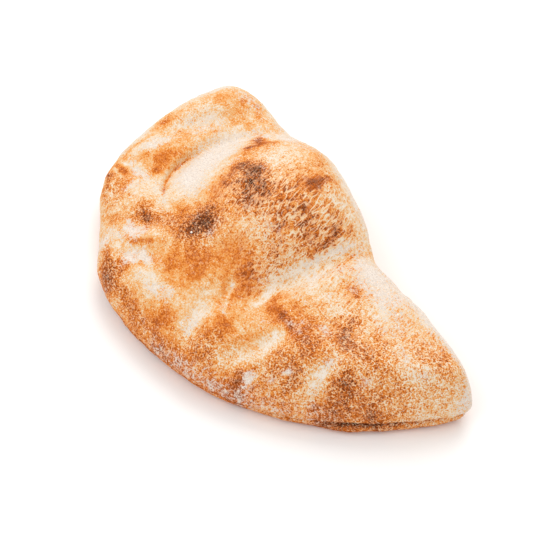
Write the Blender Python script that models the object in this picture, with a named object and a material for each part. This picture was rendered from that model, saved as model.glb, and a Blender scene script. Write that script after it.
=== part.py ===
"""A baked calzone: a round of dough folded over its filling and sealed along a half-moon rim.

It is one piece of dough and so one closed solid. The straight fold is at +Y, the sealed rim curves round
the -Y side, and the pointed end, where the two layers part a little, is at +X. It rests on its flat base.
"""

import math

import bmesh
import bpy
import numpy as np

MM = 0.001

# All the sizes below are millimetres and degrees, seen from above unless they say otherwise.

# The height of the filled body between its puffed parts and its creases
BODY_HEIGHT = 41.0

# The point that the directions round the edge are counted from
MIDDLE = (4.0, 0.0)

# The widest line of the crust at places round the edge, anticlockwise from the pointed end. Each has the
# place, its height over the table, how far in the top takes to reach its full height, and how far under
# the crust curls before it meets the table.
EDGE = [
    (143.0, 55.0, 16.0, 22.0, 9.0),  # the pointed end, by the fold
    (132.5, 61.0, 17.0, 24.0, 10.0),
    (114.0, 64.0, 18.0, 28.0, 12.0),
    (70.5, 63.5, 24.0, 30.0, 16.0),
    (35.5, 62.0, 26.0, 30.0, 16.0),  # the waist of the fold, beside the saddle
    (12.0, 70.5, 30.0, 32.0, 18.0),
    (-17.0, 77.5, 30.0, 32.0, 18.0),  # the fold, pushed out by the big bubble
    (-57.0, 80.5, 28.0, 30.0, 16.0),
    (-96.5, 75.5, 24.0, 30.0, 14.0),
    (-133.5, 69.5, 22.0, 28.0, 14.0),  # the blunt end
    (-142.5, 46.0, 21.0, 30.0, 13.0),
    (-141.5, 19.5, 20.0, 34.0, 12.0),
    (-133.5, -11.5, 20.0, 36.0, 12.0),
    (-112.0, -43.5, 18.0, 40.0, 12.0),
    (-83.0, -60.0, 17.0, 42.0, 12.0),
    (-61.0, -74.0, 15.0, 46.0, 12.0),
    (-35.0, -80.5, 14.0, 50.0, 11.0),
    (-1.0, -79.0, 14.0, 52.0, 11.0),  # the deepest part of the half-moon rim
    (52.5, -64.0, 13.0, 50.0, 10.0),
    (84.5, -41.5, 12.0, 44.0, 8.0),
    (110.5, -13.5, 13.0, 36.0, 7.0),
    (128.0, 14.0, 13.0, 28.0, 7.0),
    (142.0, 44.5, 15.0, 22.0, 8.0),  # the pointed end, by the rim
]
# The two powers that turn the top over into the edge: 2 and 0.5 would be a quarter ellipse
TOP_FLATNESS, TOP_ROUNDNESS = 2.4, 0.62

# Where gas or filling lifts the crust, or a blister has sunk. Each has the place, its half sizes, its turn,
# how far it lifts the crust, and how flat its top is: 2 is a round dome, and more is a plateau.
SWELLS = [
    (-23.0, 27.0, 48.5, 64.5, 0.0, 19.5, 3.6),  # the big bubble
    (-13.0, 34.0, 41.0, 42.0, 0.0, 13.0, 2.2),  # its crown
    (89.0, 16.0, 50.0, 44.0, 0.0, 3.0, 3.0),  # the lobe at the pointed end
    (-123.0, 38.0, 26.0, 40.0, 10.0, 9.0, 3.0),  # the lobe at the blunt end
    (-97.0, -2.0, 12.0, 26.0, -15.0, 3.5, 2.0),  # a roll between the trough and the foot crease
    (57.0, 9.0, 13.0, 13.0, 0.0, 3.0, 2.0),  # a blister on the pointed lobe
    (36.0, -52.0, 9.0, 16.0, 35.0, 3.0, 2.0),  # pillows between the pleats
    (81.0, -20.0, 14.0, 16.0, 0.0, 2.0, 2.0),
    (-55.0, -44.0, 9.0, 7.0, 30.0, -3.0, 2.0),  # a burst blister, and two hollows beside it
    (-35.0, -57.0, 14.0, 8.0, 30.0, -3.0, 2.0),
    (-99.0, -26.0, 12.0, 10.0, 0.0, -2.0, 2.0),
]

# Creases sunk in the crust, and rolls that stand up from it. Each runs from its start to its end, drawn
# towards its bend, and has its half width and how far it lifts the crust.
FURROWS = [
    ((35.0, 77.0), (32.0, 17.0), (29.0, -39.0), 9.0, -6.0),  # the saddle beside the big bubble
    ((-61.0, -30.0), (-109.0, 4.0), (-73.0, 75.0), 5.0, -4.0),  # the crease round the bubble's foot
    ((-113.0, -9.0), (-108.0, 20.0), (-99.0, 53.0), 7.0, -3.5),  # the trough along the blunt lobe
    ((7.0, -29.0), (20.0, -53.0), (36.0, -75.0), 6.5, -4.0),  # pleats that run out to the rim
    ((12.0, -13.0), (19.0, -31.0), (31.0, -47.0), 4.5, -2.0),
    ((67.0, -5.0), (61.0, -36.0), (46.0, -66.0), 6.5, -4.0),
    ((71.0, -29.0), (72.0, -46.0), (69.0, -61.0), 4.5, -2.0),
    ((95.0, 9.0), (92.0, -20.0), (98.0, -45.0), 6.5, -3.0),
    ((-51.0, 5.0), (-65.0, 34.0), (-46.0, 61.0), 8.0, 1.5),  # the bubble's shoulder
    ((-56.0, -60.0), (-45.0, -53.0), (-35.0, -42.0), 4.0, 2.0),  # a small roll by the burst blister
    ((41.0, 56.0), (47.0, 22.0), (41.0, -15.0), 7.0, 2.0),  # a roll past the saddle
]
FURROW_ENDS = 0.4  # the share of a furrow's length in which it fades in, and out again
FURROW_STEPS = 24  # the straight steps that stand for each furrow's curve

# The seam under the rim, by direction from the middle: how deep the groove between the two layers is, and
# how far the lower layer stands out under the upper one. Along the fold there is none.
SEAM = [
    (-180.0, 0.8, 0.0),
    (-60.0, 0.8, 0.0),
    (-25.0, 1.0, 0.0),
    (-12.0, 2.0, 1.0),
    (-4.0, 3.5, 3.2),  # the lower layer shows furthest out here
    (6.0, 3.5, 1.4),
    (15.0, 3.0, 0.0),
    (24.0, 3.0, -4.0),  # the upper layer overhangs at the pointed end
    (34.0, 1.5, -2.0),
    (50.0, 0.0, 0.0),
    (120.0, 0.0, 0.0),
    (160.0, 0.4, 0.0),
]
# The middle and half width of the groove and of the lip, as shares of the widest line's height
GROOVE_LEVEL, GROOVE_HALF = 0.64, 0.11
LIP_LEVEL, LIP_HALF = 0.28, 0.26

# The mesh is a cube with this many faces along each edge, blown up to a sphere and then shaped. The power
# crowds its rows away from the edge, so that the wide top gets more of them.
FACES_ALONG_CUBE = 32
TOP_SPREAD = 1.35


def round_spline(angle, value):
    """The smooth closed curve through value at each sorted angle, as a function: a periodic cubic spline."""
    count = len(angle)
    following = (np.arange(count) + 1) % count
    step = np.diff(np.append(angle, angle[0] + 2 * np.pi))
    slope = (value[following] - value) / step
    system = np.diag(2 * (np.roll(step, 1) + step))
    system[np.arange(count), following] += step
    system[following, np.arange(count)] += step
    bend = np.linalg.solve(system, 6 * (slope - np.roll(slope, 1)))

    def at(theta):
        wrapped = (theta - angle[0]) % (2 * np.pi) + angle[0]
        k = np.clip(np.searchsorted(angle, wrapped, side="right") - 1, 0, count - 1)
        u = wrapped - angle[k]
        first, second = bend[k], bend[following[k]]
        linear = slope[k] - step[k] * (2 * first + second) / 6
        return value[k] + u * linear + u**2 * first / 2 + u**3 * (second - first) / (6 * step[k])

    return at


def edge_at(theta):
    """The edge's distance from the middle, height, top rounding and underside rounding at each direction."""
    x, y, *others = np.array(EDGE).T
    angle = np.arctan2(y - MIDDLE[1], x - MIDDLE[0]) % (2 * np.pi)
    order = np.argsort(angle)
    columns = [np.hypot(x - MIDDLE[0], y - MIDDLE[1]), *others]
    return [round_spline(angle[order], column[order])(theta) for column in columns]


def seam_at(theta):
    """The groove's depth and the lower layer's reach at each direction, by straight interpolation."""
    degrees, groove, lip = np.array(SEAM).T
    turned = np.degrees(theta)
    return [np.interp(turned, degrees, column, period=360) for column in (groove, lip)]


def swell(x, y, place_x, place_y, half_x, half_y, turn, lift, flatness):
    """The lift of one swell: lift * exp(-distance^flatness), with the distance in half sizes."""
    c, s = math.cos(math.radians(turn)), math.sin(math.radians(turn))
    u = ((x - place_x) * c + (y - place_y) * s) / half_x
    v = ((y - place_y) * c - (x - place_x) * s) / half_y
    return lift * np.exp(-((u**2 + v**2) ** (flatness / 2)))


def furrow(x, y, start, bend, end, half_width, lift):
    """The lift of one furrow: a bell curve across a quadratic Bezier line, faded in and out along it."""
    t = np.linspace(0, 1, FURROW_STEPS + 1)[:, None]
    line = (1 - t) ** 2 * np.array(start) + 2 * t * (1 - t) * np.array(bend) + t**2 * np.array(end)
    nearest = np.full(x.shape, np.inf)
    along = np.zeros(x.shape)
    for k in range(FURROW_STEPS):
        run = line[k + 1] - line[k]
        share = ((x - line[k, 0]) * run[0] + (y - line[k, 1]) * run[1]) / (run @ run)
        share = np.clip(share, 0, 1)
        away = np.hypot(x - line[k, 0] - share * run[0], y - line[k, 1] - share * run[1])
        closer = away < nearest
        nearest = np.where(closer, away, nearest)
        along = np.where(closer, (k + share) / FURROW_STEPS, along)
    fade = np.clip(np.minimum(along, 1 - along) / FURROW_ENDS, 0, 1)
    return lift * np.exp(-((nearest / half_width) ** 2)) * fade**2 * (3 - 2 * fade)


def full_height(x, y):
    """The height of the crust over the table, away from the edge."""
    height = np.full(x.shape, BODY_HEIGHT)
    for shape in SWELLS:
        height += swell(x, y, *shape)
    for shape in FURROWS:
        height += furrow(x, y, *shape)
    return height


def crust(theta, latitude):
    """The crust's points for directions theta and latitudes from the top's middle (+90 degrees, as radians)
    through the widest line (0) to the base's middle (-90 degrees)."""
    reach, wide_height, top, under = edge_at(theta)
    groove, lip = seam_at(theta)
    is_top = latitude >= 0
    from_pole = 1 - np.abs(latitude) / (np.pi / 2)
    share = np.where(is_top, np.sin(np.pi / 2 * from_pole**TOP_SPREAD), np.cos(latitude))
    inside = reach * (1 - share)
    c, s = np.cos(theta), np.sin(theta)

    over = np.clip(1 - inside / top, 0, 1)
    full = full_height(MIDDLE[0] + (reach - inside) * c, MIDDLE[1] + (reach - inside) * s)
    z_top = wide_height + (full - wide_height) * (1 - over**TOP_FLATNESS) ** TOP_ROUNDNESS

    curl = np.clip(1 - inside / under, 0, 1)
    level = 1 - np.sqrt(1 - curl**2)
    in_groove = groove * np.exp(-(((level - GROOVE_LEVEL) / GROOVE_HALF) ** 2))
    in_lip = lip * np.exp(-(((level - LIP_LEVEL) / LIP_HALF) ** 2))
    outwards = np.where(~is_top & (level > 0), in_lip - in_groove, 0)

    radius = reach - inside + outwards
    z = np.where(is_top, z_top, wide_height * level)
    return np.stack([MIDDLE[0] + radius * c, MIDDLE[1] + radius * s, z], axis=-1)


def clear_scene():
    for obj in list(bpy.data.objects):
        bpy.data.objects.remove(obj, do_unlink=True)


def blown_cube(faces_along):
    """A bmesh cube split into even squares, and each vertex's direction and latitude on the sphere round it."""
    bm = bmesh.new()
    bmesh.ops.create_cube(bm, size=2.0)
    bmesh.ops.subdivide_edges(bm, edges=bm.edges, cuts=faces_along - 1, use_grid_fill=True)
    on_cube = np.array([vert.co for vert in bm.verts])
    on_cube = np.tan(on_cube * np.pi / 4)
    on_sphere = on_cube / np.linalg.norm(on_cube, axis=1, keepdims=True)
    theta = np.arctan2(on_sphere[:, 1], on_sphere[:, 0])
    latitude = np.arcsin(np.clip(on_sphere[:, 2], -1, 1))
    return bm, theta, latitude


def flatten_base(bm):
    """The faces that lie on the table become one flat face."""
    flat = [face for face in bm.faces if max(vert.co.z for vert in face.verts) < 1e-9]
    bmesh.ops.dissolve_faces(bm, faces=flat, use_verts=True)


def make_calzone(collection, material):
    bm, theta, latitude = blown_cube(FACES_ALONG_CUBE)
    points = crust(theta, latitude)
    points[:, :2] -= (points[:, :2].min(axis=0) + points[:, :2].max(axis=0)) / 2
    for vert, point in zip(bm.verts, points * MM):
        vert.co = point
    flatten_base(bm)
    bmesh.ops.recalc_face_normals(bm, faces=bm.faces)
    mesh = bpy.data.meshes.new("calzone")
    bm.to_mesh(mesh)
    bm.free()
    mesh.shade_smooth()
    mesh.materials.append(material)
    obj = bpy.data.objects.new("calzone", mesh)
    collection.objects.link(obj)
    return obj


def baked_crust_material():
    material = bpy.data.materials.new("baked_crust")
    material.use_nodes = True
    shader = material.node_tree.nodes["Principled BSDF"]
    shader.inputs["Base Color"].default_value = (0.70, 0.36, 0.14, 1.0)
    shader.inputs["Roughness"].default_value = 0.8
    shader.inputs["Metallic"].default_value = 0.0
    return material


clear_scene()
calzone_collection = bpy.data.collections.new("Calzone")
bpy.context.scene.collection.children.link(calzone_collection)
make_calzone(calzone_collection, baked_crust_material())
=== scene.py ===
# %% [markdown]
# # A baked calzone
#
# A calzone is a round of pizza dough, folded over its filling and baked until it is golden. Its looks come
# from three things: the soft form of puffed dough, the patches where the oven browned it more or less, and
# the flour that it was dusted with. This lesson makes each of them in turn. The solid of the calzone is
# already there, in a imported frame, and everything here is fitted to it.

# %% Load the frame
import math
import bmesh
import bpy
import numpy as np
from mathutils import Matrix, Vector


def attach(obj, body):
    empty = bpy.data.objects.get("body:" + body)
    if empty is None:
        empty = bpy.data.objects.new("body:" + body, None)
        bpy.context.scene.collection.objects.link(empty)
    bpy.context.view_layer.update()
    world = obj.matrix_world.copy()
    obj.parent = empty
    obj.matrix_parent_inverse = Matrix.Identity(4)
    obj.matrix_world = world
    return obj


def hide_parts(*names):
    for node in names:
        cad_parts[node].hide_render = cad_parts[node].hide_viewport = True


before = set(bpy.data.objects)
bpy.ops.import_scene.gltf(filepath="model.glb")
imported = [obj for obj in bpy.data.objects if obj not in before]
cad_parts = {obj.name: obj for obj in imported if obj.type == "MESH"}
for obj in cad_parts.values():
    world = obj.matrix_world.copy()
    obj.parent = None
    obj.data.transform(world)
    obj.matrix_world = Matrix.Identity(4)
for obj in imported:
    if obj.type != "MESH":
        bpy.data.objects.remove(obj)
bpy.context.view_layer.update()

# %% [markdown]
# ## Units and colours
#
# The form is worked out in millimetres, because that is how a baker would measure it, and Blender works in
# metres. Colours are picked as sRGB hex values, as a paint program shows them, and shaders want linear light.

# %% Units and colours
MM = 0.001


def linear(hex_colour):
    """An sRGB hex colour as linear RGBA: below 0.04045 a straight line, above it a power of 2.4."""
    channels = [int(hex_colour[i:i + 2], 16) / 255 for i in (1, 3, 5)]
    return [c / 12.92 if c <= 0.04045 else ((c + 0.055) / 1.055) ** 2.4 for c in channels] + [1.0]


print("golden crust in linear light:", [round(c, 3) for c in linear("#F0B978")])

# %% [markdown]
# ## Camera
#
# The photograph looks down at the calzone from its rim side, a little past its pointed end. A long lens from
# over a metre away keeps the shape from looking stretched. The camera's axes are built from two angles: the
# azimuth turns round the table, and the elevation lifts the camera over it.

# %% Camera
CAMERA_AZIMUTH = 58.8  # degrees from looking along +Y, towards +X
CAMERA_ELEVATION = 47.8  # degrees over the table
CAMERA_DISTANCE = 1100.0  # mm from the point that it aims at
CAMERA_AIM = (5.0, 6.5, 26.8)  # mm
CAMERA_LENS = 124.7  # mm, on a sensor 36 mm wide


def camera_axes(azimuth, elevation):
    """The camera's right, up and backward directions, by turning X, Z and -Y through the two angles."""
    a, e = math.radians(azimuth), math.radians(elevation)
    right = Vector((math.cos(a), math.sin(a), 0))
    back = Vector((math.sin(a) * math.cos(e), -math.cos(a) * math.cos(e), math.sin(e)))
    return right, back.cross(right), back


def add_camera():
    """A camera without depth of field, turned to its axes and moved back from what it aims at."""
    data = bpy.data.cameras.new("camera")
    data.lens = CAMERA_LENS
    data.sensor_width = 36.0
    data.clip_end = 10.0
    camera = bpy.data.objects.new("camera", data)
    bpy.context.scene.collection.objects.link(camera)
    right, up, back = camera_axes(CAMERA_AZIMUTH, CAMERA_ELEVATION)
    turned = Matrix((right, up, back)).transposed().to_4x4()
    spot = (Vector(CAMERA_AIM) + back * CAMERA_DISTANCE) * MM
    camera.matrix_world = Matrix.Translation(spot) @ turned
    bpy.context.scene.camera = camera
    return camera


camera = add_camera()
print("camera at", [round(c, 3) for c in camera.location])

# %% [markdown]
# ## The form of the dough
#
# The dough has one smooth outer skin. It could be sculpted, but a skin that is a formula can be made as fine
# as we like and still fit the solid exactly. The formula has three parts, all in millimetres:
#
# - an edge, the widest line of the crust, given at places round the outline;
# - a height over the table, which is flat dough plus the swells that gas and filling lift, plus furrows
#   where the dough is creased or rolled;
# - a seam under the edge, where the two layers of dough meet.

# %% The edge and the swells
BODY_HEIGHT = 41.0  # the height of the filled body between its puffed parts and its creases
MIDDLE = (4.0, 0.0)  # directions round the edge are counted from here

# Place, height over the table, how far in the top reaches its full height, how far under the crust curls
EDGE = [
    (143, 55, 16, 22, 9),  # the pointed end, by the fold
    (132.5, 61, 17, 24, 10),
    (114, 64, 18, 28, 12),
    (70.5, 63.5, 24, 30, 16),
    (35.5, 62, 26, 30, 16),  # the waist of the fold, beside the saddle
    (12, 70.5, 30, 32, 18),
    (-17, 77.5, 30, 32, 18),  # the fold, pushed out by the big bubble
    (-57, 80.5, 28, 30, 16),
    (-96.5, 75.5, 24, 30, 14),
    (-133.5, 69.5, 22, 28, 14),  # the blunt end
    (-142.5, 46, 21, 30, 13),
    (-141.5, 19.5, 20, 34, 12),
    (-133.5, -11.5, 20, 36, 12),
    (-112, -43.5, 18, 40, 12),
    (-83, -60, 17, 42, 12),
    (-61, -74, 15, 46, 12),
    (-35, -80.5, 14, 50, 11),
    (-1, -79, 14, 52, 11),  # the deepest part of the half-moon rim
    (52.5, -64, 13, 50, 10),
    (84.5, -41.5, 12, 44, 8),
    (110.5, -13.5, 13, 36, 7),
    (128, 14, 13, 28, 7),
    (142, 44.5, 15, 22, 8),  # the pointed end, by the rim
]
TOP_FLATNESS, TOP_ROUNDNESS = 2.4, 0.62  # 2 and 0.5 would turn the top over in a quarter ellipse

# Place, half sizes, turn in degrees, lift, and how flat the top is: 2 is a dome, more is a plateau
SWELLS = [
    (-23, 27, 48.5, 64.5, 0, 19.5, 3.6),  # the big bubble
    (-13, 34, 41, 42, 0, 13, 2.2),  # its crown
    (89, 16, 50, 44, 0, 3, 3),  # the lobe at the pointed end
    (-123, 38, 26, 40, 10, 9, 3),  # the lobe at the blunt end
    (-97, -2, 12, 26, -15, 3.5, 2),  # a roll between the trough and the foot crease
    (57, 9, 13, 13, 0, 3, 2),  # a blister on the pointed lobe
    (36, -52, 9, 16, 35, 3, 2),  # pillows between the pleats
    (81, -20, 14, 16, 0, 2, 2),
    (-55, -44, 9, 7, 30, -3, 2),  # a burst blister, and two hollows beside it
    (-35, -57, 14, 8, 30, -3, 2),
    (-99, -26, 12, 10, 0, -2, 2),
]
print(len(EDGE), "places round the edge,", len(SWELLS), "swells")

# %% The furrows and the seam
# Start, bend and end of a curve on the crust, half width, lift
FURROWS = [
    ((35, 77), (32, 17), (29, -39), 9, -6),  # the saddle beside the big bubble
    ((-61, -30), (-109, 4), (-73, 75), 5, -4),  # the crease round the bubble's foot
    ((-113, -9), (-108, 20), (-99, 53), 7, -3.5),  # the trough along the blunt lobe
    ((7, -29), (20, -53), (36, -75), 6.5, -4),  # pleats that run out to the rim
    ((12, -13), (19, -31), (31, -47), 4.5, -2),
    ((67, -5), (61, -36), (46, -66), 6.5, -4),
    ((71, -29), (72, -46), (69, -61), 4.5, -2),
    ((95, 9), (92, -20), (98, -45), 6.5, -3),
    ((-51, 5), (-65, 34), (-46, 61), 8, 1.5),  # the bubble's shoulder
    ((-56, -60), (-45, -53), (-35, -42), 4, 2),  # a small roll by the burst blister
    ((41, 56), (47, 22), (41, -15), 7, 2),  # a roll past the saddle
]
FURROW_ENDS = 0.4  # the share of a furrow's length in which it fades in, and out again
FURROW_STEPS = 24

# Direction in degrees, depth of the groove between the layers, reach of the lower layer
SEAM = [
    (-180, 0.8, 0),
    (-60, 0.8, 0),
    (-25, 1, 0),
    (-12, 2, 1),
    (-4, 3.5, 3.2),  # the lower layer shows furthest out here
    (6, 3.5, 1.4),
    (15, 3, 0),
    (24, 3, -4),  # the upper layer overhangs at the pointed end
    (34, 1.5, -2),
    (50, 0, 0),
    (120, 0, 0),
    (160, 0.4, 0),
]
GROOVE_LEVEL, GROOVE_HALF = 0.64, 0.11  # shares of the widest line's height
GROOVE_DEEPEST = max(depth for _, depth, _ in SEAM)
LIP_LEVEL, LIP_HALF = 0.28, 0.26
TOP_SPREAD = 1.35  # crowds the rows away from the edge, towards the wide top
print(len(FURROWS), "furrows")


# %% [markdown]
# The edge is a closed curve through its places. A periodic cubic spline gives the smoothest one: its bends
# solve a small linear system that wraps round from the last place to the first.

# %% Edge and seam as functions of direction
def round_spline(angle, value):
    """The smooth closed curve through value at each sorted angle, as a function: a periodic cubic spline."""
    count = len(angle)
    following = (np.arange(count) + 1) % count
    step = np.diff(np.append(angle, angle[0] + 2 * np.pi))
    slope = (value[following] - value) / step
    system = np.diag(2 * (np.roll(step, 1) + step))
    system[np.arange(count), following] += step
    system[following, np.arange(count)] += step
    bend = np.linalg.solve(system, 6 * (slope - np.roll(slope, 1)))

    def at(theta):
        """The curve's value at theta, from the bends at the two places round it."""
        wrapped = (theta - angle[0]) % (2 * np.pi) + angle[0]
        k = np.clip(np.searchsorted(angle, wrapped, side="right") - 1, 0, count - 1)
        u = wrapped - angle[k]
        first, second = bend[k], bend[following[k]]
        straight = slope[k] - step[k] * (2 * first + second) / 6
        return value[k] + u * straight + u**2 * first / 2 + u**3 * (second - first) / (6 * step[k])

    return at


def edge_at(theta):
    """The edge's distance from the middle, height, top rounding and underside rounding at each direction."""
    x, y, *others = np.array(EDGE).T
    angle = np.arctan2(y - MIDDLE[1], x - MIDDLE[0]) % (2 * np.pi)
    order = np.argsort(angle)
    columns = [np.hypot(x - MIDDLE[0], y - MIDDLE[1]), *others]
    return [round_spline(angle[order], column[order])(theta) for column in columns]


def seam_at(theta):
    """The groove's depth and the lower layer's reach at each direction, by straight interpolation."""
    degrees, groove, lip = np.array(SEAM).T
    turned = np.degrees(theta)
    return [np.interp(turned, degrees, column, period=360) for column in (groove, lip)]


print("the edge's reach at 0 and 90 degrees, in mm:", edge_at(np.radians([0.0, 90.0]))[0].round(1))


# %% [markdown]
# A swell is a bell shape over an ellipse. A furrow is a bell shape across a curve: each point looks for the
# nearest place on the curve and is lifted by how far away that is. The same two shapes are used again below,
# to paint where the oven browned the crust and where flour lies.

# %% Swells and furrows
def bell(x, y, place_x, place_y, half_x, half_y, turn, lift, flatness=2.0):
    """lift * exp(-distance^flatness), with the distance from the place counted in half sizes."""
    c, s = math.cos(math.radians(turn)), math.sin(math.radians(turn))
    u = ((x - place_x) * c + (y - place_y) * s) / half_x
    v = ((y - place_y) * c - (x - place_x) * s) / half_y
    return lift * np.exp(-((u**2 + v**2) ** (flatness / 2)))


def furrow(x, y, start, bend, end, half_width, lift, ends=FURROW_ENDS):
    """A bell curve across a quadratic Bezier line, faded in and out along it by a smooth step."""
    t = np.linspace(0, 1, FURROW_STEPS + 1)[:, None]
    line = (1 - t) ** 2 * np.array(start) + 2 * t * (1 - t) * np.array(bend) + t**2 * np.array(end)
    nearest = np.full(x.shape, np.inf)
    along = np.zeros(x.shape)
    for k in range(FURROW_STEPS):
        run = line[k + 1] - line[k]
        share = ((x - line[k, 0]) * run[0] + (y - line[k, 1]) * run[1]) / (run @ run)
        share = np.clip(share, 0, 1)
        away = np.hypot(x - line[k, 0] - share * run[0], y - line[k, 1] - share * run[1])
        closer = away < nearest
        nearest = np.where(closer, away, nearest)
        along = np.where(closer, (k + share) / FURROW_STEPS, along)
    fade = np.clip(np.minimum(along, 1 - along) / ends, 0, 1)
    return lift * np.exp(-((nearest / half_width) ** 2)) * fade**2 * (3 - 2 * fade)


def full_height(x, y):
    """The height of the crust over the table, away from the edge: the body, the swells and the furrows."""
    swells = sum(bell(x, y, *shape) for shape in SWELLS)
    furrows = sum(furrow(x, y, *shape) for shape in FURROWS)
    return BODY_HEIGHT + swells + furrows


# %% The whole skin
def crust(theta, latitude):
    """The skin's points for directions theta and latitudes, from the top's middle (+90 degrees, as radians)
    through the widest line (0) to the base's middle (-90 degrees). The top falls to the edge by a rounding
    curve, and the underside curls to the table by an ellipse, with the seam's groove and lip on it."""
    reach, wide_height, top, under = edge_at(theta)
    groove, lip = seam_at(theta)
    is_top = latitude >= 0
    from_pole = 1 - np.abs(latitude) / (np.pi / 2)
    share = np.where(is_top, np.sin(np.pi / 2 * from_pole**TOP_SPREAD), np.cos(latitude))
    inside = reach * (1 - share)
    c, s = np.cos(theta), np.sin(theta)

    over = np.clip(1 - inside / top, 0, 1)
    full = full_height(MIDDLE[0] + (reach - inside) * c, MIDDLE[1] + (reach - inside) * s)
    z_top = wide_height + (full - wide_height) * (1 - over**TOP_FLATNESS) ** TOP_ROUNDNESS

    curl = np.clip(1 - inside / under, 0, 1)
    level = 1 - np.sqrt(1 - curl**2)
    in_groove = groove * np.exp(-(((level - GROOVE_LEVEL) / GROOVE_HALF) ** 2))
    in_lip = lip * np.exp(-(((level - LIP_LEVEL) / LIP_HALF) ** 2))
    outwards = np.where(~is_top & (level > 0), in_lip - in_groove, 0)

    radius = reach - inside + outwards
    z = np.where(is_top, z_top, wide_height * level)
    return np.stack([MIDDLE[0] + radius * c, MIDDLE[1] + radius * s, z], axis=-1)


print("height over the middle:", crust(np.zeros(1), np.full(1, np.pi / 2))[0, 2].round(1), "mm")

# %% [markdown]
# ## A grid without a crowded pole
#
# A globe's grid bunches up at its poles. A cube's faces, blown up to a sphere, spread their squares evenly,
# so the skin is made of five of them: a cap on top and four walls. The flat base needs no detail, so it is
# closed by a few rings that shrink to the middle.

# %% Five patches and a base
CAP_CELLS = 150  # squares along each edge of the cap
WALL_CELLS_OVER = 75  # rows of squares on a wall over the widest line
WALL_CELLS_UNDER = 38  # rows of squares on a wall under it
BASE_RINGS = (0.88, 0.76, 0.64, 0.52, 0.4, 0.3, 0.2, 0.12, 0.05)  # how far the base's rings shrink


def cube_directions(columns, rows, turn=None):
    """Directions and latitudes of a patch: the tangents of two angles give a point on a cube's face, and
    its longitude and latitude are the patch's parameters. Without a turn the face is the top one."""
    across, along = np.meshgrid(np.tan(columns), np.tan(rows), indexing="ij")
    if turn is None:
        return np.arctan2(along, across), np.arctan2(1.0, np.hypot(across, along))
    return turn + np.arctan(across), np.arctan2(along, np.hypot(across, 1.0))


def patch_faces(columns, rows, first):
    """The squares of a grid of points that are numbered from first, row by row."""
    i, j = np.meshgrid(np.arange(columns), np.arange(rows), indexing="ij")
    corner = first + i * (rows + 1) + j
    return np.stack([corner, corner + rows + 1, corner + rows + 2, corner + 1], axis=-1).reshape(-1, 4)


def skin_grid():
    """The points and squares of the whole skin, with the patches' shared borders still double."""
    quarter = np.pi / 4
    even = np.linspace(-quarter, quarter, CAP_CELLS + 1)
    down = np.concatenate([np.linspace(-quarter, 0, WALL_CELLS_UNDER + 1)[:-1],
                           np.linspace(0, quarter, WALL_CELLS_OVER + 1)])
    points, faces, count = [], [], 0
    for turn in (None, 0.0, np.pi / 2, np.pi, -np.pi / 2):
        rows = even if turn is None else down
        patch = crust(*cube_directions(even, rows, turn))
        points.append(patch.reshape(-1, 3))
        faces.append(patch_faces(len(even) - 1, len(rows) - 1, count))
        count += patch.shape[0] * patch.shape[1]
        if turn is not None:
            border = patch[:, 0]
            centre = np.array([*MIDDLE, 0.0])
            rings = np.stack([centre + (border - centre) * k for k in (*BASE_RINGS, 0.0)][::-1]
                             + [border], axis=1)
            points.append(rings.reshape(-1, 3))
            faces.append(patch_faces(len(even) - 1, len(BASE_RINGS) + 1, count))
            count += rings.shape[0] * rings.shape[1]
    return np.concatenate(points), np.concatenate(faces)


def closed_mesh(name, points, faces, merge):
    """A Blender mesh of the points in metres, with points closer than merge made one."""
    mesh = bpy.data.meshes.new(name)
    mesh.from_pydata(points, [], faces)
    bm = bmesh.new()
    bm.from_mesh(mesh)
    bmesh.ops.remove_doubles(bm, verts=bm.verts, dist=merge)
    bmesh.ops.recalc_face_normals(bm, faces=bm.faces)
    bm.to_mesh(mesh)
    bm.free()
    mesh.shade_smooth()
    return mesh


skin_points, skin_faces = skin_grid()
middle = (skin_points.min(axis=0) + skin_points.max(axis=0)) / 2
skin_points[:, :2] -= middle[:2]
skin = closed_mesh("calzone_crust", skin_points * MM, skin_faces, 1e-6)
print("crust:", len(skin.vertices), "points, size in mm", (np.ptp(skin_points, axis=0)).round(1))

# %% [markdown]
# ## Noise made by hand
#
# Baked dough is never smooth. Its lumps, blisters and wrinkles are random but have sizes, so two kinds of
# noise are made here, each with a size in millimetres. Lattice noise rolls gently, like dough. Cell noise
# gives scattered spots and the borders between them, like blisters and the net of a cracked skin. Both work
# on all the points at once, and their random numbers come from a seed, so that each run gives the same bread.

# %% Two kinds of noise
HASH_FACTORS = np.array([73856093, 19349663, 83492791])


def hashed(cells, count):
    """A fixed whole number below count for each lattice cell: its coordinates times primes, folded."""
    mixed = cells * HASH_FACTORS
    mixed = mixed[..., 0] ^ mixed[..., 1] ^ mixed[..., 2]
    return (mixed ^ (mixed >> 13)) % count


def rolling(points, size, seed):
    """Lattice noise, about -1 to 1: each corner of a cubic lattice has a random slope, and a point blends
    the slopes of its cell's eight corners by 6t^5 - 15t^4 + 10t^3."""
    slopes = np.random.default_rng(seed).normal(size=(1024, 3))
    slopes /= np.linalg.norm(slopes, axis=1, keepdims=True)
    cell = np.floor(points / size).astype(np.int64)
    inside = points / size - cell
    blend = inside**3 * (inside * (inside * 6 - 15) + 10)
    total = np.zeros(len(points))
    for corner in np.ndindex(2, 2, 2):
        weight = np.prod(np.where(corner, blend, 1 - blend), axis=1)
        slope = slopes[hashed(cell + corner, len(slopes))]
        total += weight * (slope * (inside - corner)).sum(axis=1)
    return total * 1.7


def layered(points, layers):
    """The sum of rolling noises, each with its height, size and seed."""
    return sum(height * rolling(points, size, seed) for height, size, seed in layers)


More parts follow.
